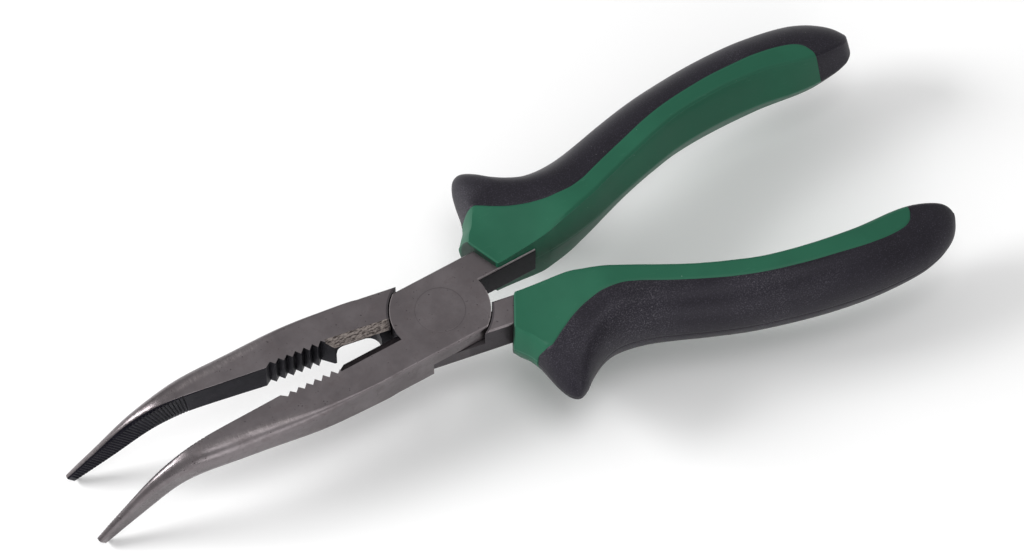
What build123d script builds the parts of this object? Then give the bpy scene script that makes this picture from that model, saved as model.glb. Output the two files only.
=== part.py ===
from build123d import *
import os
from math import cos, radians, sin, sqrt

os.makedirs("parts", exist_ok=True)

# Bent-nose pliers, about 200 mm long. Z is the pivot axis, the jaws point to -X and the
# handles to +X. Z = 0 is the flat underside of the head. Each half is described as it lies
# when the pliers are closed, and is then swung out by half the opening they are stored at.

# Head and lap joint
head_thickness = 8.6
head_half_width = 9.0
joint_radius = 11.1
joint_gap = 0.3
lap_gap = 0.3
half_opening = 5.2
mate = 0.05  # each mating face stops this short of the closing plane
middle = head_thickness / 2
edge_round = 0.5

# Rivet, ground flush on both faces
rivet_shaft_radius = 3.5
rivet_head_radius = 5.6
rivet_head_depth = 2.1
rivet_clearance = 0.05

# Jaw: straight to bend_start, curved down through bend_angle, straight to the tip
jaw_block_end = 16.0
bend_start = 55.2
bend_radius = 26.4
bend_angle = 38.4
nose_end = 18.3  # straight length after the bend
nose_length = bend_start + bend_radius * radians(bend_angle) + nose_end
# distance along the jaw's middle line, width from the mating face, height, radius of the two
# outer corners and of the two corners at the mating face
nose_sections = (
    (jaw_block_end, 8.95, head_thickness, 0.5, 0.12),
    (24.0, 8.9, head_thickness, 0.5, 0.12),
    (31.0, 8.8, 8.5, 1.0, 0.12),
    (38.0, 8.4, 8.2, 1.8, 0.12),
    (46.0, 7.5, 7.7, 2.6, 0.15),
    (54.0, 6.5, 7.4, 3.0, 0.2),
    (60.0, 5.4, 7.5, 3.1, 0.4),
    (66.0, 3.85, 7.7, 2.5, 0.8),
    (72.0, 2.75, 7.2, 1.7, 0.9),
    (78.0, 2.15, 6.1, 1.25, 0.7),
    (84.0, 1.75, 4.7, 1.0, 0.5),
    (88.0, 1.55, 3.7, 0.85, 0.45),
    (nose_length, 1.35, 2.8, 0.7, 0.4),
)

# Pipe grip: seven notches
notch_count = 7
notch_pitch = 1.99
notch_start = 40.2
first_valley = 38.85
valley_depths = (1.2, 2.06)
crest_depths = (0.32, 0.84)
notch_end = 24.4

# Side cutter: bevel on the top face, relief hollow under the edge
cutter_start = 26.0
cutter_bevel_width = 2.0
cutter_edge_drop = 1.6
relief_near = 13.6
relief_far = 24.0
relief_width = 3.6
relief_slope = 2.9

# Fine cross serrations of the nose
serration_start = 58.7
serration_pitch = 0.8
serration_depth = 0.25
serration_count = 40

# Shank and the tang that runs inside the grip
shank_inner = 2.0
shank_end = 25.5
tang_inset = 0.4
tang_inner = ((shank_end, -4.4), (36.0, -6.4), (50.0, -10.6), (66.0, -14.6), (86.0, -16.0))
tang_outer = ((86.0, -20.0), (66.0, -19.6), (50.0, -16.4), (36.0, -12.2), (shank_end, -9.0))

# Grip outline at mid height: x, y, and how far it draws in at full height
grip_front_inner = (16.4, -2.2, 0.0)
grip_outer = (
    (12.3, -13.0, 7.0),
    (15.0, -15.6, 7.5),
    (16.9, -19.6, 10.0),
    (18.2, -24.8, 13.0),
    (21.4, -29.0, 15.0),
    (25.4, -26.2, 12.7),
    (29.0, -22.6, 9.5),
    (36.0, -20.0, 8.0),
    (44.0, -21.0, 8.3),
    (52.0, -22.9, 8.4),
    (60.0, -24.7, 8.5),
    (68.0, -25.9, 8.5),
    (80.0, -26.8, 8.5),
    (92.0, -26.7, 8.2),
    (100.0, -25.8, 7.8),
    (107.0, -24.0, 6.3),
    (112.0, -21.5, 3.6),
    (115.0, -18.0, 1.2),
)
grip_inner = (
    (115.4, -14.9, 0.3),
    (113.7, -12.1, 1.0),
    (110.0, -10.1, 1.9),
    (104.0, -9.4, 3.0),
    (96.0, -10.0, 3.6),
    (88.0, -10.9, 3.8),
    (80.0, -11.3, 3.6),
    (70.0, -11.0, 2.9),
    (60.0, -9.3, 2.7),
    (52.0, -7.0, 2.5),
    (44.0, -4.6, 2.3),
    (36.0, -2.8, 1.6),
    (28.0, -2.2, 0.2),
    grip_front_inner,
)
grip_full_height = 9.6
grip_levels = (0.0, 0.45, 0.72, 0.9, 1.0)
# The handles droop a little behind lean_from
lean_from = 20.0
lean_angle = 1.6
# Half thickness along the handle
grip_profile = (
    (8.0, 5.9), (16.0, 6.0), (22.0, 6.7), (29.0, 8.3), (36.0, 9.3), (44.0, 8.6), (54.0, 8.5),
    (66.0, 9.0), (80.0, 9.1), (90.0, 8.6), (98.0, 7.7), (106.0, 6.4), (112.0, 5.2), (119.0, 3.6),
)
# Rounding of the handle end about its own middle: x and radius
end_middle = -16.8
end_rounding = ((97.0, 10.8), (104.0, 9.2), (109.0, 7.4), (113.0, 5.2), (115.8, 1.2))
# Line between the hard core and the soft cover
core_line = (
    (14.6, -20.0), (18.0, -18.6), (22.0, -15.4), (26.0, -12.7), (30.5, -10.8), (36.0, -9.7),
    (42.0, -10.4), (50.0, -13.1), (60.0, -15.9), (70.0, -18.0), (80.0, -18.8), (90.0, -18.9),
    (98.0, -18.1), (103.0, -16.2), (105.0, -12.5), (105.2, -4.0),
)


def swung(side, z=0.0):
    """Horizontal plane of one half; side is +1 where the jaw lies on +Y."""
    return Plane.XY.rotated((0, 0, -side * half_opening)).offset(z)


def placed(side, x, y, z):
    """Point given in the closed position, mirrored for side -1 and swung out."""
    return swung(side).from_local_coords(Vector(x, side * y, z))


def turned(side, x, y, z):
    """Direction given in the closed position."""
    return placed(side, x, y, z) - placed(side, 0, 0, 0)


def jaw_station(distance):
    """Point and direction, in the jaw's own vertical plane, at a distance along its middle."""
    bend_length = bend_radius * radians(bend_angle)
    bent = min(max(distance - bend_start, 0.0), bend_length)
    angle = bent / bend_radius
    straight = min(distance, bend_start) + bend_radius * sin(angle)
    drop = bend_radius * (1 - cos(angle))
    beyond = max(distance - bend_start - bend_length, 0.0)
    x = -straight - beyond * cos(angle)
    z = middle - drop - beyond * sin(angle)
    return x, z, angle


def nose_plane(side, distance):
    x, z, angle = jaw_station(distance)
    return Plane(
        origin=placed(side, x, mate, z),
        x_dir=turned(side, 0, 1, 0),
        z_dir=turned(side, -cos(angle), 0, -sin(angle)),
    )


def notch_outline():
    """Toothed edge of the pipe grip, from the nose end to the cutter."""
    points = [(-notch_start, -1.0), (-notch_start, mate)]
    for i in range(notch_count):
        step = i / (notch_count - 1)
        valley = valley_depths[0] + (valley_depths[1] - valley_depths[0]) * step
        crest = crest_depths[0] + (crest_depths[1] - crest_depths[0]) * step
        x = first_valley - i * notch_pitch
        points.append((-x, valley))
        if i < notch_count - 1:
            points.append((-x + notch_pitch / 2, crest))
    points.append((-notch_end, mate))
    points.append((-notch_end, -1.0))
    return points


def rivet_outline(clearance):
    shaft = rivet_shaft_radius + clearance
    head = rivet_head_radius + clearance
    return [
        (0, 0),
        (head, 0),
        (shaft, rivet_head_depth),
        (shaft, head_thickness - rivet_head_depth),
        (head, head_thickness),
        (0, head_thickness),
    ]


def mirrored(side, points):
    return [(x, side * y) for x, y in points]


def leaning(side, height):
    """Plane parallel to the middle plane of the drooping handle; its x starts at lean_from."""
    slope = radians(lean_angle)
    plane = Plane(
        origin=placed(side, lean_from, 0, middle),
        x_dir=turned(side, cos(slope), 0, -sin(slope)),
        z_dir=turned(side, sin(slope), 0, cos(slope)),
    )
    return plane.offset(height)


def cross_plane(side, x):
    """Plane across the half at x; its own x runs towards the jaw's side and its y runs up."""
    return Plane(
        origin=placed(side, x, 0, 0),
        x_dir=turned(side, 0, 1, 0),
        z_dir=turned(side, side, 0, 0),
    )


def serration_plane(side, distance):
    x, z, angle = jaw_station(distance)
    return Plane(
        origin=placed(side, x, mate, z),
        x_dir=turned(side, -cos(angle), 0, -sin(angle)),
        z_dir=turned(side, -sin(angle), 0, cos(angle)),
    )


def shank(side):
    """Bar from the joint into the grip, with the tang the grip is moulded on."""
    with BuildPart() as bar:
        with BuildSketch(cross_plane(side, (5.0 + shank_end) / 2)) as section:
            with Locations((-(shank_inner + head_half_width) / 2, middle)):
                Rectangle(head_half_width - shank_inner, head_thickness)
            fillet(section.vertices(), edge_round)
        extrude(amount=(shank_end - 5.0) / 2, both=True)
        with BuildSketch(swung(side, tang_inset)):
            with BuildLine():
                Polyline(*mirrored(side, tang_inner + tang_outer), close=True)
            make_face()
        extrude(amount=head_thickness - 2 * tang_inset)
    return bar


def lap_plate(side, low, high):
    """Half-thickness disc of the joint, cut flat along the head's two long edges."""
    with BuildPart() as plate:
        with BuildSketch(swung(side, low)):
            Circle(joint_radius)
        extrude(amount=high - low)
        with BuildSketch(cross_plane(side, 0)) as head:
            with Locations((0, middle)):
                Rectangle(2 * head_half_width, head_thickness)
            fillet(head.vertices(), edge_round)
        extrude(amount=joint_radius + 1, both=True, mode=Mode.INTERSECT)
    return plate


def forged_half(side, lap_low, lap_high, clear_low, clear_high, bore_clearance):
    """Jaw, lap plate and shank of one half, forged in one piece."""
    bar = shank(side)
    plate = lap_plate(side, lap_low, lap_high)
    with BuildPart() as half:
        # straight jaw block
        with BuildSketch(nose_plane(side, 5.0)) as block:
            Rectangle(nose_sections[0][1], head_thickness, align=(Align.MIN, Align.CENTER))
            fillet(block.vertices().group_by(Axis.X)[-1], edge_round)
        extrude(amount=jaw_block_end - 5.0)
        # long tapering nose, bent down
        for distance, width, height, corner, lip in nose_sections:
            with BuildSketch(nose_plane(side, distance)) as section:
                Rectangle(width, height, align=(Align.MIN, Align.CENTER))
                fillet(section.vertices().group_by(Axis.X)[-1], corner)
                fillet(section.vertices().group_by(Axis.X)[0], lip)
        loft()
        # bevel of the side cutter
        with BuildSketch(cross_plane(side, -cutter_start / 2)):
            with BuildLine():
                Polyline(
                    (-1.0, head_thickness - cutter_edge_drop),
                    (mate, head_thickness - cutter_edge_drop),
                    (cutter_bevel_width, head_thickness),
                    (cutter_bevel_width, head_thickness + 1.0),
                    (-1.0, head_thickness + 1.0),
                    close=True,
                )
            make_face()
        extrude(amount=cutter_start / 2, both=True, mode=Mode.SUBTRACT)
        # hollow below the cutting edge, open to the underside
        relief_middle = -(relief_near + relief_far) / 2
        relief_length = relief_far - relief_near
        relief_top = head_thickness - cutter_edge_drop - relief_slope
        with BuildSketch(swung(side, -1.0)) as pocket:
            with Locations((relief_middle, 0)):
                Rectangle(relief_length, 2 * relief_width)
            fillet(pocket.vertices(), relief_width * 0.8)
        extrude(amount=relief_top + 1.0, mode=Mode.SUBTRACT)
        with BuildSketch(swung(side, relief_top)) as slope_base:
            with Locations((relief_middle, 0)):
                Rectangle(relief_length, 2 * relief_width)
            fillet(slope_base.vertices(), relief_width * 0.8)
        with BuildSketch(swung(side, head_thickness - cutter_edge_drop)) as slope_top:
            with Locations((relief_middle, 0)):
                Rectangle(relief_length - 1.0, 0.4)
            fillet(slope_top.vertices(), 0.15)
        loft(mode=Mode.SUBTRACT)
        # notches of the pipe grip
        with BuildSketch(swung(side, -1.0)):
            with BuildLine():
                Polyline(*mirrored(side, notch_outline()), close=True)
            make_face()
        extrude(amount=head_thickness + 2.0, mode=Mode.SUBTRACT)
        # fine serrations across the mating face of the nose
        teeth = [
            serration_plane(side, serration_start + i * serration_pitch)
            for i in range(serration_count)
        ]
        with BuildSketch(*teeth):
            with BuildLine():
                Polyline(
                    (-serration_pitch * 0.4, side * 0.02),
                    (serration_pitch * 0.4, side * 0.02),
                    (0, -side * serration_depth),
                    close=True,
                )
            make_face()
        extrude(amount=6.0, both=True, mode=Mode.SUBTRACT)
        # shank, then room for the other half's lap plate, then this half's own plate
        add(bar.part)
        with BuildSketch(swung(side, clear_low)):
            Circle(joint_radius + joint_gap)
        extrude(amount=clear_high - clear_low, mode=Mode.SUBTRACT)
        add(plate.part)
        with BuildSketch(Plane.XZ):
            with BuildLine():
                Polyline(*rivet_outline(bore_clearance), close=True)
            make_face()
        revolve(axis=Axis.Z, mode=Mode.SUBTRACT)
    return half


def grip_outline(side, level):
    """Outline of the whole grip, drawn in as the level rises from mid height (0) to full (1)."""
    inner_share = level
    outer_share = (1 - sqrt(1 - (0.97 * level) ** 2)) / (1 - sqrt(1 - 0.97 ** 2))
    outer = [(x - lean_from, side * (y + draw * outer_share)) for x, y, draw in grip_outer]
    inner = [(x - lean_from, side * (y - draw * inner_share)) for x, y, draw in grip_inner]
    return outer + inner


def grip_piece(side, keep):
    """One moulding of the grip: keep INTERSECT for the hard core, SUBTRACT for the cover."""
    bar = shank(side)
    profile_plane = Plane(
        origin=placed(side, lean_from, 0, middle),
        x_dir=leaning(side, 0).x_dir,
        z_dir=turned(side, 0, -side, 0),
    )
    top = [(x - lean_from, height) for x, height in grip_profile]
    bottom = [(x, -height) for x, height in reversed(top)]
    levels = [-level for level in reversed(grip_levels[1:])] + list(grip_levels)
    with BuildPart() as piece:
        for level in levels:
            points = grip_outline(side, abs(level))
            with BuildSketch(leaning(side, level * grip_full_height)):
                with BuildLine():
                    Spline(*points)
                    Line(points[-1], points[0])
                make_face()
        loft()
        with BuildSketch(profile_plane):
            with BuildLine():
                Spline(*top)
                Line(top[-1], bottom[0])
                Spline(*bottom)
                Line(bottom[-1], top[0])
            make_face()
        extrude(amount=40.0, both=True, mode=Mode.INTERSECT)
        end = leaning(side, 0)
        with BuildSketch(end):
            with BuildLine():
                Spline(*[(x - lean_from, side * (end_middle + radius)) for x, radius in end_rounding])
                Polyline(
                    (end_rounding[-1][0] - lean_from, side * (end_middle + end_rounding[-1][1])),
                    (end_rounding[-1][0] - lean_from, side * end_middle),
                    (120.0 - lean_from, side * end_middle),
                    (120.0 - lean_from, side * (end_middle + 24.0)),
                    (end_rounding[0][0] - lean_from, side * (end_middle + 24.0)),
                    (end_rounding[0][0] - lean_from, side * (end_middle + end_rounding[0][1])),
                )
            make_face()
        end_axis = Axis(end.from_local_coords((0, side * end_middle, 0)), end.x_dir)
        revolve(axis=end_axis, mode=Mode.SUBTRACT)
        line = mirrored(side, core_line)
        with BuildSketch(swung(side, middle - 15.0)):
            with BuildLine():
                Spline(*line)
                Polyline(line[-1], *mirrored(side, ((105.2, 5.0), (4.0, 5.0), (4.0, -20.0))), line[0])
            make_face()
        extrude(amount=30.0, mode=keep)
        add(bar.part, mode=Mode.SUBTRACT)
    return piece


lower_plate_top = middle - lap_gap / 2
upper_plate_bottom = middle + lap_gap / 2

# Half whose jaw lies on +Y and whose lap plate is the lower one
lower_half = forged_half(
    1, 0.0, lower_plate_top, lower_plate_top, head_thickness + 1.0, rivet_clearance
)
lower_half.part.label = "lower_half"
export_step(lower_half.part, "parts/lower_half.step")

# Half whose jaw lies on -Y and whose lap plate is the upper one; the rivet is fast in it
upper_half = forged_half(
    -1, upper_plate_bottom, head_thickness, -1.0, upper_plate_bottom, 0.0
)
upper_half.part.label = "upper_half"
export_step(upper_half.part, "parts/upper_half.step")

with BuildPart() as rivet:
    with BuildSketch(Plane.XZ):
        with BuildLine():
            Polyline(*rivet_outline(0.0), close=True)
        make_face()
    revolve(axis=Axis.Z)
rivet.part.label = "rivet"
export_step(rivet.part, "parts/rivet.step")

# Two-part moulded grips: hard core on the inside, soft cover with the finger guard outside
lower_grip_core = grip_piece(1, Mode.INTERSECT)
lower_grip_core.part.label = "lower_grip_core"
export_step(lower_grip_core.part, "parts/lower_grip_core.step")

lower_grip_cover = grip_piece(1, Mode.SUBTRACT)
lower_grip_cover.part.label = "lower_grip_cover"
export_step(lower_grip_cover.part, "parts/lower_grip_cover.step")

upper_grip_core = grip_piece(-1, Mode.INTERSECT)
upper_grip_core.part.label = "upper_grip_core"
export_step(upper_grip_core.part, "parts/upper_grip_core.step")

upper_grip_cover = grip_piece(-1, Mode.SUBTRACT)
upper_grip_cover.part.label = "upper_grip_cover"
export_step(upper_grip_cover.part, "parts/upper_grip_cover.step")
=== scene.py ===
import math

import bmesh
import bpy
import numpy as np
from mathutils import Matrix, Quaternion, Vector


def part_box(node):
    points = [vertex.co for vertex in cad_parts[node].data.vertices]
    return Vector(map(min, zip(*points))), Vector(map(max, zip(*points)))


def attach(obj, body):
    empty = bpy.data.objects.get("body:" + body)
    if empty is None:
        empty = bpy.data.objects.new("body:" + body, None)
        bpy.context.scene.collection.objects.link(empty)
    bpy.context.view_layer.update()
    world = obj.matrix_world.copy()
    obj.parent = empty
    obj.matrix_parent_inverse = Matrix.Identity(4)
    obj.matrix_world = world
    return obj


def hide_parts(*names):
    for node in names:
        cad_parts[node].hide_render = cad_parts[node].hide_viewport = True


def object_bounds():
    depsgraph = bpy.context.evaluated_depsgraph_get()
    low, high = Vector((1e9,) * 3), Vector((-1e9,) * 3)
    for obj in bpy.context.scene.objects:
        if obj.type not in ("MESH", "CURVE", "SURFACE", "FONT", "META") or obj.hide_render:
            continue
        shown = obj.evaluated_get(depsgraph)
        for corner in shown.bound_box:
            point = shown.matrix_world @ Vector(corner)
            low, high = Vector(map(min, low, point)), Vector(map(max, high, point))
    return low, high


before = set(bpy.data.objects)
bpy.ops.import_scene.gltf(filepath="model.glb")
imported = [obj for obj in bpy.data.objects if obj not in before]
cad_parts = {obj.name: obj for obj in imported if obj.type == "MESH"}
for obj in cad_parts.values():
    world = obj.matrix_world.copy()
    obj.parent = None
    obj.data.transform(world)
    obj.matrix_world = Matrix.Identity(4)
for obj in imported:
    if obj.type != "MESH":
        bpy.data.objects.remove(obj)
cad_box = [list(corner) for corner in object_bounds()]

MM = 0.001
HEAD_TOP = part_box("upper_half")[1].z
HALF_OPENING = math.radians(5.2)

# ---------------------------------------------------------------- grips
# A grip is described in its own half's closed frame, in millimetres: x along the handle from
# the pivot, y sideways (0 is the closing plane, the palm side is negative) and z from mid height.
LEAN_FROM = 20.0
LEAN = math.radians(1.6)

# Stations from the front face to the end: the palm-side edge (x, y) and the inner edge (x, y)
# at mid height, how far the palm side rounds over, and how full that rounding is.
STATIONS = (
    ((12.5, -13.0), (16.45, -2.25), 2.6, 1.25),
    ((13.7, -14.3), (18.0, -2.25), 2.3, 1.25),
    ((15.1, -15.9), (20.0, -2.25), 2.5, 1.3),
    ((16.4, -18.8), (22.0, -2.25), 3.2, 1.35),
    ((17.2, -22.2), (24.0, -2.25), 5.0, 1.4),
    ((18.2, -25.4), (25.8, -2.25), 8.0, 1.5),
    ((19.7, -28.0), (27.4, -2.3), 11.0, 1.65),
    ((21.6, -28.9), (28.9, -2.35), 13.0, 1.8),
    ((23.7, -27.7), (30.3, -2.4), 12.8, 1.9),
    ((26.0, -25.2), (32.0, -2.55), 11.0, 1.95),
    ((28.8, -22.7), (34.0, -2.75), 9.2, 2.0),
    ((32.2, -20.8), (36.4, -3.05), 8.2, 2.0),
    ((36.2, -20.1), (39.4, -3.6), 7.8, 2.0),
    ((41.2, -20.5), (43.2, -4.45), 7.8, 2.0),
    ((47.0, -21.7), (48.2, -5.95), 8.0, 2.0),
    ((54.0, -23.4), (54.6, -7.7), 8.2, 2.0),
    ((62.0, -25.0), (62.2, -9.5), 8.4, 2.0),
    ((70.0, -26.0), (70.0, -10.9), 8.5, 2.0),
    ((80.0, -26.7), (80.0, -11.35), 8.6, 2.0),
    ((90.0, -26.65), (90.0, -10.8), 8.4, 2.0),
    ((98.0, -25.9), (98.0, -9.5), 8.2, 2.0),
    ((104.0, -24.8), (104.0, -9.15), 8.0, 2.0),
    ((108.2, -23.3), (108.6, -9.4), 7.8, 2.0),
    ((111.2, -21.5), (112.2, -10.3), 7.4, 2.0),
    ((113.2, -19.8), (113.9, -11.4), 6.0, 2.0),
    ((114.4, -18.1), (114.75, -12.5), 4.0, 2.0),
    ((115.0, -16.6), (115.1, -13.7), 1.8, 2.0),
)
SECTIONS_PER_STATION = 7
# x, half thickness
THICKNESS = (
    (10.0, 6.0), (16.0, 6.0), (22.0, 6.75), (29.0, 8.15), (36.0, 9.15), (44.0, 8.6),
    (54.0, 8.45), (66.0, 8.85), (80.0, 9.0), (90.0, 8.6), (98.0, 7.8), (104.0, 7.0),
    (108.4, 6.05), (111.0, 5.3), (113.0, 4.4), (114.3, 3.5), (115.3, 2.3),
)
# x, how far the crease along the inner side lies in from the inner edge
CREASE = (
    (14.0, 0.25), (24.0, 0.35), (29.0, 0.85), (34.0, 1.3), (40.0, 1.75), (48.0, 2.1), (56.0, 2.5),
    (64.0, 2.8), (72.0, 3.0), (80.0, 3.15), (88.0, 3.3), (96.0, 3.6), (104.0, 2.95), (110.0, 2.6),
    (116.0, 1.4),
)
# x, y of the line between the hard core and the soft cover
CORE_LINE = (
    (14.5, -16.9), (16.2, -17.3), (17.6, -17.7), (18.8, -17.7), (20.2, -16.9), (22.0, -15.5),
    (26.0, -12.8), (30.0, -11.0), (34.0, -9.95), (38.0, -9.75), (42.0, -10.4), (46.0, -11.7),
    (50.0, -13.0), (56.0, -14.8), (62.0, -16.5), (68.0, -17.7), (74.0, -18.4), (82.0, -18.85),
    (90.0, -18.85), (96.0, -18.4), (100.0, -17.65), (102.4, -16.8), (103.9, -15.6), (104.7, -13.9),
    (105.0, -11.5), (105.15, -4.0),
)
CORE_END = 105.15
# Groove along the core line, on the part of a section at least GROOVE_FROM of the full height
GROOVE_DEPTH = 0.14
GROOVE_WIDTH = 0.3
GROOVE_FROM = 0.3
# Mould parting line at mid height
PARTING_DEPTH = 0.1
PARTING_WIDTH = 0.2
# The crease takes at most this share of a section, and the top dips a little beside it
LARGEST_CREASE = 0.45
DIP_DEPTH = 0.05
DIP_WIDTH = 0.35
DIP_LEAST_CREASE = 0.5
DIP_FADE = (0.3, 1.2)
# Points across a section: over the rounded palm side, the top, round the crease and the facet
ROUND_ANGLES = np.concatenate(((0.0, 0.02, 0.05), np.linspace(0.1, math.pi / 2, 14)))
TOP_POINTS = 20
CREASE_OFFSETS = np.array((-0.25, -0.1, 0.0, 0.1, 0.25))
CREASE_MARGIN = 0.5
FACET_POINTS = 8
FACET_ENDS = (0.985, 0.995, 1.0)
# Points beside the core line, and how far the other points keep from it
EDGE_OFFSETS = np.array((0.45, 0.25, 0.12, 0.0))
EDGE_MARGIN = 0.6
# The cover starts where its share of a section passes COVER_FROM, and from CORE_TO on there is
# no core, with one full-width ring of the cover just CLOSING_STEP behind the last one before it
COVER_FROM = 0.03
CORE_TO = 0.9999
CLOSING_STEP = 0.04
BISECTIONS = 40
# Rounded front edge of the core
FRONT_ROUND = 0.7
FRONT_ANGLES = (80, 55, 30, 12)
FRONT_FORWARD = 0.6
FRONT_LEAST_REACH = 1.5
# Mesh clean-up, in metres, and the angle above which an edge is drawn sharp
MERGE_DISTANCE = 2e-6
DEGENERATE_LENGTH = 1e-6
SHARP_ANGLE = math.radians(32)


def smooth_table(table, t):
    """Monotone cubic through a table of (place, value)."""
    xs = np.array([row[0] for row in table], float)
    ys = np.array([row[1] for row in table], float)
    slope = np.diff(ys) / np.diff(xs)
    tangent = np.zeros(len(xs))
    tangent[0], tangent[-1] = slope[0], slope[-1]
    same = slope[:-1] * slope[1:] > 0
    tangent[1:-1][same] = 2 * slope[:-1][same] * slope[1:][same] / (slope[:-1][same] + slope[1:][same])
    t = np.clip(np.asarray(t, float), xs[0], xs[-1])
    i = np.clip(np.searchsorted(xs, t) - 1, 0, len(xs) - 2)
    h = xs[i + 1] - xs[i]
    u = (t - xs[i]) / h
    return (
        ys[i] * (1 + 2 * u) * (1 - u) ** 2
        + h * tangent[i] * u * (1 - u) ** 2
        + ys[i + 1] * u * u * (3 - 2 * u)
        + h * tangent[i + 1] * u * u * (u - 1)
    )


def catmull(rows, per_span):
    """Points of a smooth curve through rows, per_span steps between two rows."""
    rows = np.array(rows, float)
    padded = np.vstack((2 * rows[0] - rows[1], rows, 2 * rows[-1] - rows[-2]))
    out = []
    for i in range(1, len(padded) - 2):
        a, b, c, d = padded[i - 1 : i + 3]
        for k in range(per_span):
            t = k / per_span
            out.append(
                0.5 * (2 * b + (c - a) * t + (2 * a - 5 * b + 4 * c - d) * t * t
                       + (3 * b - a - 3 * c + d) * t ** 3)
            )
    out.append(padded[-2])
    return np.array(out)


def place(side, x, y, z):
    """Closed-frame point of a half, in mm, to the shared frame at rest, in metres."""
    along = x - LEAN_FROM
    cx = LEAN_FROM + along * np.cos(LEAN) + z * np.sin(LEAN)
    cy = side * y
    cz = HEAD_TOP / MM / 2 - along * np.sin(LEAN) + z * np.cos(LEAN)
    turn = -side * HALF_OPENING
    return np.stack(
        (cx * np.cos(turn) - cy * np.sin(turn), cx * np.sin(turn) + cy * np.cos(turn), cz), -1
    ) * MM


def line_share(outer, inner):
    """Share of the way from the palm-side edge to the inner edge where the core line crosses."""
    if outer[0] > CORE_END:
        return 1.0
    low, high = 0.0, 1.0
    for _ in range(BISECTIONS):
        mid = (low + high) / 2
        x, y = outer + (inner - outer) * mid
        if y < smooth_table(CORE_LINE, x):
            low = mid
        else:
            high = mid
    return high


def height_share(u, length, rounding, fullness, crease):
    """Height of the top surface over mid height at a share u across, as a share of the full."""
    d = u * length
    round_over = min(rounding, length - crease)
    a = np.clip(1 - d / round_over, 0, 1)
    v = (1 - a ** fullness) ** (1 / fullness)
    back = (length - d) / crease
    v = np.where(back < 1, np.minimum(v, back), v)
    soft = DIP_WIDTH / max(crease, DIP_LEAST_CREASE)
    fade = np.clip((crease - DIP_FADE[0]) / (DIP_FADE[1] - DIP_FADE[0]), 0, 1)
    return v - DIP_DEPTH * fade * np.exp(-(((back - 1) / soft) ** 2))


def section_shares(part, share, length, rounding, crease):
    """Places of a section's points, as shares of the way across; share is the core line's."""
    round_end = min(rounding, length - crease) / length
    crease_at = 1 - crease / length
    margin = CREASE_MARGIN / length
    curved = (1 - np.cos(ROUND_ANGLES)) * round_end
    top = np.linspace(round_end, crease_at - margin, TOP_POINTS)[1:]
    near = crease_at + CREASE_OFFSETS / length
    facet = np.linspace(crease_at + margin, 1.0, FACET_POINTS)[:-1]
    u = np.sort(np.concatenate((curved, top, near, facet, FACET_ENDS)))
    edge = EDGE_OFFSETS / length
    if part == "core":
        u = np.concatenate((share + edge[::-1], np.maximum(u, share + EDGE_MARGIN / length)))
    elif share < 1:
        u = np.concatenate((np.minimum(u, share - EDGE_MARGIN / length), share - edge))
    else:
        u = np.concatenate((u, np.ones(len(edge))))
    return np.clip(u, 0, 1)


def grip_rings(part):
    """Rings of points round one moulding, from the front face to the end."""
    table = [(*outer, *inner, rounding, fullness) for outer, inner, rounding, fullness in STATIONS]
    rows = list(catmull(table, SECTIONS_PER_STATION))
    shares = [line_share(row[0:2], row[2:4]) for row in rows]
    core_end = next(i for i, share in enumerate(shares) if share > CORE_TO)
    step = np.array((CLOSING_STEP, 0, CLOSING_STEP, 0, 0, 0))
    rows.insert(core_end, rows[core_end - 1] + step)
    shares.insert(core_end, 1.0)
    rings = []
    for row, share in zip(rows, shares):
        if (share <= COVER_FROM) if part == "cover" else (share >= CORE_TO):
            continue
        outer, inner, rounding, fullness = row[0:2], row[2:4], row[4], row[5]
        length = float(np.linalg.norm(inner - outer))
        crease = float(smooth_table(CREASE, (outer[0] + inner[0]) / 2))
        crease = min(crease, length * LARGEST_CREASE)
        u = section_shares(part, share, length, rounding, crease)
        v = height_share(u, length, rounding, fullness, crease)
        xy = outer + (inner - outer) * u[:, None]
        z = v * smooth_table(THICKNESS, xy[:, 0])
        if COVER_FROM < share < 1:
            groove = np.exp(-(((u - share) * length / GROOVE_WIDTH) ** 2))
            z = z - GROOVE_DEPTH * groove * (v > GROOVE_FROM)
        z = np.maximum(z, 0)
        dent = PARTING_DEPTH * np.exp(-((z / PARTING_WIDTH) ** 2))
        way = (inner - outer) / length
        xy = xy + way * np.where(u < 0.5, dent, -dent)[:, None]
        rings.append((xy, z))
    return rings


def front_rings(xy, z):
    """Smaller rings in front of the first one, which round the front edge over."""
    centre = xy.mean(0)
    reach = np.maximum(np.linalg.norm(xy - centre, axis=1), FRONT_LEAST_REACH)
    rings = []
    for angle in FRONT_ANGLES:
        inset = FRONT_ROUND * (1 - math.cos(math.radians(angle)))
        forward = FRONT_FORWARD * FRONT_ROUND * math.sin(math.radians(angle))
        moved = centre + (xy - centre) * (1 - inset / reach)[:, None] - np.array((forward, 0.0))
        rings.append((moved, np.maximum(z - inset, 0) * (z > 0)))
    return rings


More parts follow.
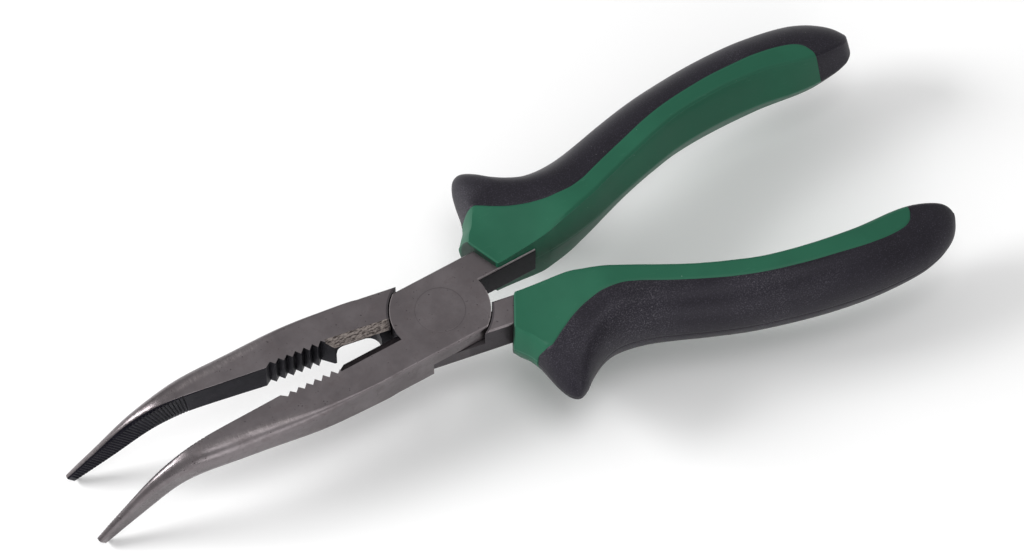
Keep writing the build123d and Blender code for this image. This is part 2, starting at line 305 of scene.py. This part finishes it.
def build_grip(side, part):
    """The smooth moulding of one grip part, in place of its CAD solid."""
    rings = grip_rings(part)
    if part == "core":
        rings = front_rings(*rings[0]) + rings
    mesh = bmesh.new()
    loops = []
    for xy, z in rings:
        top = place(side, xy[:, 0], xy[:, 1], z)
        low = place(side, xy[:, 0], xy[:, 1], -z)
        loops.append([mesh.verts.new(point) for point in (*top, *low[::-1])])
    count = len(loops[0])
    for a, b in zip(loops, loops[1:]):
        for k in range(count):
            n = (k + 1) % count
            mesh.faces.new((a[k], a[n], b[n], b[k]))
    mesh.faces.new(loops[0][::-1])
    mesh.faces.new(loops[-1])
    bmesh.ops.remove_doubles(mesh, verts=mesh.verts, dist=MERGE_DISTANCE)
    bmesh.ops.dissolve_degenerate(mesh, edges=mesh.edges, dist=DEGENERATE_LENGTH)
    bmesh.ops.recalc_face_normals(mesh, faces=mesh.faces)
    name = ("lower" if side > 0 else "upper") + "_grip_" + part
    data = bpy.data.meshes.new(name + "_moulding")
    mesh.to_mesh(data)
    mesh.free()
    for polygon in data.polygons:
        polygon.use_smooth = True
    data.set_sharp_from_angle(angle=SHARP_ANGLE)
    piece = bpy.data.objects.new(name + "_moulding", data)
    bpy.context.scene.collection.objects.link(piece)
    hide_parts(name)
    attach(piece, "lower" if side > 0 else "upper")
    return piece


# ---------------------------------------------------------------- materials
def srgb(r, g, b):
    """Linear colour, with full alpha, from sRGB values of 0 to 255."""
    out = []
    for c in (r, g, b):
        c /= 255.0
        out.append(c / 12.92 if c <= 0.04045 else ((c + 0.055) / 1.055) ** 2.4)
    return (*out, 1.0)


class Nodes:
    """Short way to write a material's node tree; positions are in metres, in the shared frame."""

    def __init__(self, name):
        self.material = bpy.data.materials.new(name)
        self.material.use_nodes = True
        self.tree = self.material.node_tree
        self.shader = self.tree.nodes["Principled BSDF"]
        self.position = self.add("ShaderNodeTexCoord").outputs["Object"]
        self.normal = self.add("ShaderNodeTexCoord").outputs["Normal"]

    def add(self, kind, **settings):
        node = self.tree.nodes.new(kind)
        for key, value in settings.items():
            setattr(node, key, value)
        return node

    def link(self, source, target):
        if hasattr(source, "links"):
            self.tree.links.new(source, target)
        else:
            target.default_value = source

    def math(self, operation, a, b=0.0, clamp=False):
        node = self.add("ShaderNodeMath", operation=operation, use_clamp=clamp)
        self.link(a, node.inputs[0])
        self.link(b, node.inputs[1])
        return node.outputs[0]

    def times(self, first, *others):
        """Product of two or more values."""
        for other in others:
            first = self.math("MULTIPLY", first, other)
        return first

    def dot(self, a, vector):
        node = self.add("ShaderNodeVectorMath", operation="DOT_PRODUCT")
        self.link(a, node.inputs[0])
        node.inputs[1].default_value = vector
        return node.outputs["Value"]

    def coordinate(self, axis):
        """One coordinate of the position, in mm."""
        return self.dot(self.position, tuple(float(a == axis) / MM for a in "xyz"))

    def speckle(self, scale, low, high):
        """1 in small round specks, 0 elsewhere."""
        return self.ramp(self.cells(scale), low, high, 1.0, 0.0)

    def noise(self, scale, detail=3.0, roughness=0.55, distortion=0.0, vector=None):
        node = self.add("ShaderNodeTexNoise")
        node.inputs["Scale"].default_value = scale
        node.inputs["Detail"].default_value = detail
        node.inputs["Roughness"].default_value = roughness
        node.inputs["Distortion"].default_value = distortion
        self.link(self.position if vector is None else vector, node.inputs["Vector"])
        return node.outputs["Fac"]

    def cells(self, scale):
        """Distance from the middle of the nearest of many random cells."""
        node = self.add("ShaderNodeTexVoronoi")
        node.inputs["Scale"].default_value = scale
        self.link(self.position, node.inputs["Vector"])
        return node.outputs["Distance"]

    def ramp(self, value, low, high, to_low=0.0, to_high=1.0):
        """Smooth step from to_low at low to to_high at high."""
        node = self.add("ShaderNodeMapRange", clamp=True, interpolation_type="SMOOTHSTEP")
        self.link(value, node.inputs["Value"])
        node.inputs["From Min"].default_value = low
        node.inputs["From Max"].default_value = high
        node.inputs["To Min"].default_value = to_low
        node.inputs["To Max"].default_value = to_high
        return node.outputs["Result"]

    def mix(self, share, a, b):
        """Colour a at share 0, colour b at share 1."""
        node = self.add("ShaderNodeMix", data_type="RGBA")
        self.link(share, node.inputs["Factor"])
        self.link(a, node.inputs[6])
        self.link(b, node.inputs[7])
        return node.outputs[2]

    def blend(self, share, a, b):
        """Number a at share 0, number b at share 1."""
        node = self.add("ShaderNodeMix", data_type="FLOAT")
        self.link(share, node.inputs["Factor"])
        self.link(a, node.inputs[2])
        self.link(b, node.inputs[3])
        return node.outputs[0]

    def stretched(self, scale):
        """The position with each axis scaled by its own factor, for streaky noise."""
        node = self.add("ShaderNodeMapping")
        self.link(self.position, node.inputs["Vector"])
        node.inputs["Scale"].default_value = scale
        return node.outputs["Vector"]

    def seam(self, half_width):
        """1 along the mould parting line at the grip's mid height, 0 elsewhere."""
        slope = math.tan(LEAN)
        mid = HEAD_TOP / MM / 2 + LEAN_FROM * slope
        off = self.math("SUBTRACT", self.dot(self.position, (slope / MM, 0.0, 1.0 / MM)), mid)
        return self.ramp(self.math("ABSOLUTE", off), half_width * 0.5, half_width, 1.0, 0.0)

    def from_pivot(self):
        """Distance from the pivot axis, in mm."""
        flat = self.add("ShaderNodeVectorMath", operation="MULTIPLY")
        self.link(self.position, flat.inputs[0])
        flat.inputs[1].default_value = (1.0 / MM, 1.0 / MM, 0.0)
        reach = self.add("ShaderNodeVectorMath", operation="LENGTH")
        self.link(flat.outputs["Vector"], reach.inputs[0])
        return reach.outputs["Value"]

    def bump(self, height, strength, distance):
        node = self.add("ShaderNodeBump")
        node.inputs["Strength"].default_value = strength
        node.inputs["Distance"].default_value = distance
        self.link(height, node.inputs["Height"])
        return node.outputs["Normal"]

    def finish(self, colour, rough, normal, metallic=0.0):
        self.link(colour, self.shader.inputs["Base Color"])
        self.link(rough, self.shader.inputs["Roughness"])
        self.link(normal, self.shader.inputs["Normal"])
        self.link(metallic, self.shader.inputs["Metallic"])
        return self.material


# Places on the steel, in mm in the shared frame: x of the jaw's back and the cutter's front, and
# how far from its closing plane a half's mating face can lie
JAW_BACK = -9.0
CUTTER_FRONT = -27.0
MATING_DEPTH = 4.6
# The worn band lies this far from the closing plane at x 0, and comes nearer towards the tip
RUN_OUT_START = 14.0
RUN_OUT_TAPER = 0.195
NOSE_POLISH = (-64.0, -52.0)
# Distances from the pivot axis: the edge of the painted shade on the lower lap plate, the painted
# highlight round the upper lap plate, and the rivet's ring
LAP_SHADE_RADIUS = 11.8
RIM_HIGHLIGHT_RADII = (10.86, 10.98, 11.15)
RIVET_RING = (5.38, 5.5)
STEEL_BUMP = 0.35
STEEL_BUMP_HEIGHT = 0.00005


def steel_base(n):
    """Satin forged steel: its colour, roughness and height, and the patches they share."""
    broad = n.noise(90.0, 4.0, 0.6)
    patch = n.noise(420.0, 5.0, 0.65, 0.4)
    fine = n.noise(3200.0, 4.0, 0.7)
    brushed = n.noise(1.0, 4.0, 0.7, vector=n.stretched((500.0, 5200.0, 2400.0)))
    pits = n.ramp(n.cells(1500.0), 0.16, 0.30)
    rare = n.ramp(n.noise(700.0, 2.0), 0.56, 0.66)
    pit = n.times(n.math("SUBTRACT", 1.0, pits), rare)
    colour = n.mix(n.ramp(broad, 0.35, 0.65), srgb(110, 104, 106), srgb(124, 118, 120))
    colour = n.mix(n.ramp(patch, 0.48, 0.75, 0.0, 0.5), colour, srgb(101, 93, 94))
    colour = n.mix(n.times(pit, 0.75), colour, srgb(44, 39, 41))
    rough = n.math("ADD", n.ramp(patch, 0.3, 0.7, 0.33, 0.43), n.times(fine, 0.05))
    height = n.math("ADD", n.times(fine, 0.5), n.times(brushed, 0.5))
    height = n.math("SUBTRACT", height, n.times(pit, 1.2))
    return colour, rough, height, patch


def worn_band(n, colour, x, off_plane, up):
    """Scratched band where the flat top of the jaw runs out into its rounded outer side."""
    edge = n.math("ADD", n.times(x, RUN_OUT_TAPER), RUN_OUT_START)
    band = n.ramp(n.math("ABSOLUTE", n.math("SUBTRACT", off_plane, edge)), 0.1, 1.2, 1.0, 0.0)
    band = n.times(band, n.ramp(x, -66.0, -56.0), n.ramp(x, -42.0, -34.0, 1.0, 0.0))
    scratch = n.noise(1.0, 4.0, 0.75, vector=n.stretched((2600.0, 700.0, 700.0)))
    band = n.times(band, n.ramp(scratch, 0.42, 0.7, 0.25, 1.0))
    on_top = n.math("MULTIPLY", band, up, clamp=True)
    return n.mix(n.times(on_top, 0.55), colour, srgb(168, 160, 160))


def pivot_rim_highlight(n, colour, x, up, from_pivot):
    """Painted highlight: a bright edge round the upper lap plate, only where that edge is free."""
    start, full, end = RIM_HIGHLIGHT_RADII
    rim_highlight = n.times(n.ramp(from_pivot, start, full), n.math("LESS_THAN", from_pivot, end))
    free = n.math("LESS_THAN", n.times(x, n.coordinate("y")), 0.0)
    rim_highlight = n.times(rim_highlight, n.math("GREATER_THAN", up, 0.9), free)
    return n.mix(n.times(rim_highlight, 0.5), colour, srgb(176, 168, 169))


def steel_half(name, side):
    """One forged half; side is +1 for the lower half and -1 for the upper one."""
    n = Nodes(name)
    colour, rough, height, patch = steel_base(n)
    across = (math.sin(HALF_OPENING), side * math.cos(HALF_OPENING), 0.0)
    towards_other = n.dot(n.normal, tuple(-c for c in across))
    up = n.dot(n.normal, (0.0, 0.0, 1.0))
    x = n.coordinate("x")
    off_plane = n.dot(n.position, tuple(c / MM for c in across))
    from_pivot = n.from_pivot()
    jaw = n.math("LESS_THAN", x, JAW_BACK)
    near_plane = n.math("LESS_THAN", off_plane, MATING_DEPTH)

    # dark oxide on the mating faces; the same colour serves below for painted shade
    oxide_and_shade = n.mix(n.ramp(patch, 0.35, 0.7), srgb(25, 24, 32), srgb(38, 36, 44))
    mating = n.times(n.ramp(towards_other, 0.3, 0.55), jaw, near_plane)
    colour = n.mix(mating, colour, oxide_and_shade)
    rough = n.blend(mating, rough, 0.5)

    colour = worn_band(n, colour, x, off_plane, up)
    polish = n.ramp(x, *NOSE_POLISH, 1.0, 0.0)
    rough = n.math("SUBTRACT", rough, n.times(polish, 0.13))

    # ground bevel of the side cutter, with painted light: brighter on the lower half, painted shade on
    # the upper half
    slanted = n.times(n.ramp(up, 0.35, 0.5), n.math("LESS_THAN", up, 0.93))
    cutter = n.times(n.math("GREATER_THAN", x, CUTTER_FRONT), jaw, near_plane)
    bevel = n.times(slanted, cutter)
    ground = n.noise(1.0, 3.0, 0.75, vector=n.stretched((900.0, 3600.0, 900.0)))
    if side > 0:
        bevel_light_and_shade = n.mix(n.ramp(ground, 0.35, 0.65), srgb(62, 56, 55), srgb(150, 141, 136))
    else:
        bevel_light_and_shade = n.mix(n.ramp(ground, 0.35, 0.65), srgb(34, 31, 36), srgb(66, 60, 62))
    colour = n.mix(bevel, colour, bevel_light_and_shade)
    rough = n.blend(bevel, rough, 0.55)
    height = n.math("ADD", height, n.times(bevel, ground, 2.2))

    # painted shade: darker sides of the shank, a painted shadow in the hollow under the cutting edge,
    # and on the lower half painted shade on the lap plate near the pivot
    sideways = n.ramp(n.math("ABSOLUTE", up), 0.35, 0.6, 1.0, 0.0)
    hollow_shade = n.times(cutter, n.ramp(up, 0.3, 0.4, 1.0, 0.0), 0.88)
    if side > 0:
        shank = n.times(sideways, n.ramp(x, 1.0, 3.0), 0.66)
        lap = n.times(n.math("LESS_THAN", from_pivot, LAP_SHADE_RADIUS), 0.5)
        dark = n.math("MAXIMUM", n.math("MAXIMUM", shank, hollow_shade), lap)
    else:
        shank = n.times(sideways, n.ramp(x, 9.2, 9.8), 0.88)
        dark = n.math("MAXIMUM", shank, hollow_shade)
        colour = pivot_rim_highlight(n, colour, x, up, from_pivot)
    # the painted shade takes the dark oxide colour
    colour = n.mix(dark, colour, oxide_and_shade)
    rough = n.blend(dark, rough, 0.55)
    return n.finish(colour, rough, n.bump(height, STEEL_BUMP, STEEL_BUMP_HEIGHT), metallic=1.0)


def steel_rivet(name):
    """The flush rivet, with a faint dark ring at its edge."""
    n = Nodes(name)
    colour, rough, height, _ = steel_base(n)
    ring = n.ramp(n.from_pivot(), *RIVET_RING)
    colour = n.mix(n.times(ring, 0.3), colour, srgb(60, 54, 57))
    height = n.math("SUBTRACT", height, ring)
    return n.finish(colour, rough, n.bump(height, STEEL_BUMP, STEEL_BUMP_HEIGHT), metallic=1.0)


def plastic():
    """Green hard core: slightly scuffed, a little dust, and a painted shadow on its front face where it
    meets the shank.
    """
    n = Nodes("core_plastic_moulded")
    cloud = n.noise(60.0, 3.0)
    grain = n.noise(5200.0, 2.0, 0.6)
    scuff = n.ramp(n.noise(1.0, 3.0, 0.7, vector=n.stretched((260.0, 2600.0, 1500.0))), 0.62, 0.8)
    colour = n.mix(n.ramp(cloud, 0.3, 0.7), srgb(15, 80, 58), srgb(20, 88, 64))
    colour = n.mix(n.times(scuff, 0.16), colour, srgb(90, 140, 118))
    colour = n.mix(n.times(n.seam(0.16), 0.35), colour, srgb(78, 138, 114))
    dust = n.times(n.speckle(800.0, 0.05, 0.1), n.ramp(n.noise(300.0, 2.0), 0.6, 0.7))
    colour = n.mix(n.times(dust, 0.4), colour, srgb(170, 190, 180))
    # painted shadow on the front face of the core, beside the shank
    front = n.ramp(n.dot(n.normal, (-1.0, 0.0, 0.0)), 0.8, 0.89)
    near_axis = n.ramp(n.math("ABSOLUTE", n.coordinate("y")), 12.6, 13.6, 1.0, 0.0)
    seat_shadow = n.times(front, near_axis, n.ramp(n.coordinate("x"), 16.9, 17.4, 1.0, 0.0))
    colour = n.mix(n.times(seat_shadow, 0.8), colour, srgb(10, 22, 18))
    rough = n.math("ADD", n.ramp(cloud, 0.3, 0.7, 0.46, 0.54), n.times(scuff, 0.08))
    n.shader.inputs["Specular IOR Level"].default_value = 0.36
    return n.finish(colour, rough, n.bump(grain, 0.12, 0.00004))


def rubber():
    """Black soft cover: grained, with worn specks, dust and a dark parting line."""
    n = Nodes("cover_rubber_moulded")
    cloud = n.noise(75.0, 3.0)
    grain = n.noise(3600.0, 3.0, 0.65)
    pebble = n.cells(2600.0)
    colour = n.mix(n.ramp(cloud, 0.3, 0.7), srgb(16, 14, 20), srgb(22, 20, 27))
    colour = n.mix(n.ramp(grain, 0.5, 0.72, 0.0, 0.7), colour, srgb(56, 52, 62))
    worn_area = n.ramp(n.noise(38.0, 3.0), 0.52, 0.68)
    worn_specks = n.ramp(n.noise(3400.0, 4.0, 0.7), 0.5, 0.68)
    colour = n.mix(n.times(worn_area, worn_specks, 0.4), colour, srgb(112, 109, 116))
    dust = n.times(n.speckle(900.0, 0.05, 0.11), n.ramp(n.noise(260.0, 2.0), 0.58, 0.68))
    colour = n.mix(n.times(dust, 0.35), colour, srgb(150, 146, 146))
    seam = n.seam(0.2)
    colour = n.mix(n.times(seam, 0.75), colour, srgb(10, 9, 12))
    rough = n.ramp(cloud, 0.3, 0.7, 0.42, 0.52)
    height = n.math("ADD", grain, n.times(pebble, 0.5))
    height = n.math("SUBTRACT", height, n.times(seam, 1.5))
    n.shader.inputs["Specular IOR Level"].default_value = 0.3
    n.shader.inputs["Specular Tint"].default_value = (0.92, 0.88, 1.0, 1.0)
    n.shader.inputs["Sheen Weight"].default_value = 0.02
    n.shader.inputs["Sheen Roughness"].default_value = 0.5
    return n.finish(colour, rough, n.bump(height, 0.3, 0.00006))


def set_material(obj, material):
    """Give an object one material in place of any it has."""
    obj.data.materials.clear()
    obj.data.materials.append(material)


green = plastic()
black = rubber()
for side in (1, -1):
    set_material(build_grip(side, "core"), green)
    set_material(build_grip(side, "cover"), black)
set_material(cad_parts["lower_half"], steel_half("lower_steel", 1))
set_material(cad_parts["upper_half"], steel_half("upper_steel", -1))
set_material(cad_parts["rivet"], steel_rivet("rivet_steel"))

# ---------------------------------------------------------------- stage
FLOOR_GAP = 0.0004
FLOOR_REACH = 3.0
WORLD_STRENGTH = 0.54
floor_z = cad_box[0][2] - FLOOR_GAP
corners = [(x * FLOOR_REACH, y * FLOOR_REACH, floor_z) for x, y in ((-1, -1), (1, -1), (1, 1), (-1, 1))]
floor_data = bpy.data.meshes.new("floor")
floor_data.from_pydata(corners, [], [(0, 1, 2, 3)])
floor = bpy.data.objects.new("floor", floor_data)
bpy.context.scene.collection.objects.link(floor)
paper = Nodes("paper")
paper_colour = paper.mix(paper.noise(8.0), (0.97, 0.97, 0.97, 1), (0.985, 0.985, 0.985, 1))
paper.finish(paper_colour, 0.9, paper.bump(paper.noise(900.0), 0.02, 0.0001))
paper.shader.inputs["Specular IOR Level"].default_value = 0.1
set_material(floor, paper.material)

world = bpy.data.worlds.new("studio")
bpy.context.scene.world = world
world.use_nodes = True
background = world.node_tree.nodes["Background"]
background.inputs["Color"].default_value = (1.0, 1.0, 1.0, 1.0)
background.inputs["Strength"].default_value = WORLD_STRENGTH


LIGHT_AIM = Vector((0.01, 0.0, 0.0))


def softbox(name, azimuth, elevation, distance, size, power):
    """Square softbox aimed at the head; azimuth and elevation say where it stands."""
    a, e = math.radians(azimuth), math.radians(elevation)
    towards = Vector((math.sin(a) * math.cos(e), -math.cos(a) * math.cos(e), math.sin(e)))
    light = bpy.data.lights.new(name, "AREA")
    light.shape = "SQUARE"
    light.size = size
    light.energy = power
    lamp = bpy.data.objects.new(name, light)
    bpy.context.scene.collection.objects.link(lamp)
    lamp.location = LIGHT_AIM + towards * distance
    lamp.rotation_mode = "QUATERNION"
    lamp.rotation_quaternion = (-towards).to_track_quat("-Z", "Y")


softbox("back_left", -121.0, 31.0, 0.9, 0.36, 6.6)
softbox("overhead", 20.0, 80.0, 1.1, 0.5, 2.0)
softbox("front_fill", -5.0, 22.0, 1.0, 0.5, 1.8)

# ---------------------------------------------------------------- camera
CAMERA_AZIMUTH = math.radians(-26.204)
CAMERA_ELEVATION = math.radians(60.5)
CAMERA_ROLL = math.radians(0.131)
CAMERA_DISTANCE = 1.2
CAMERA_LENS = 193.75
AIM = Vector((0.01732, -0.00008, HEAD_TOP))
back = Vector((
    math.sin(CAMERA_AZIMUTH) * math.cos(CAMERA_ELEVATION),
    -math.cos(CAMERA_AZIMUTH) * math.cos(CAMERA_ELEVATION),
    math.sin(CAMERA_ELEVATION),
))
camera_data = bpy.data.cameras.new("camera")
camera_data.sensor_width = 36.0
camera_data.lens = CAMERA_LENS
camera_data.clip_end = 50.0
camera = bpy.data.objects.new("camera", camera_data)
bpy.context.scene.collection.objects.link(camera)
camera.location = AIM + back * CAMERA_DISTANCE
camera.rotation_mode = "QUATERNION"
camera.rotation_quaternion = (-back).to_track_quat("-Z", "Y") @ Quaternion((0, 0, 1), CAMERA_ROLL)
bpy.context.scene.camera = camera
bpy.context.scene.view_settings.view_transform = "Standard"
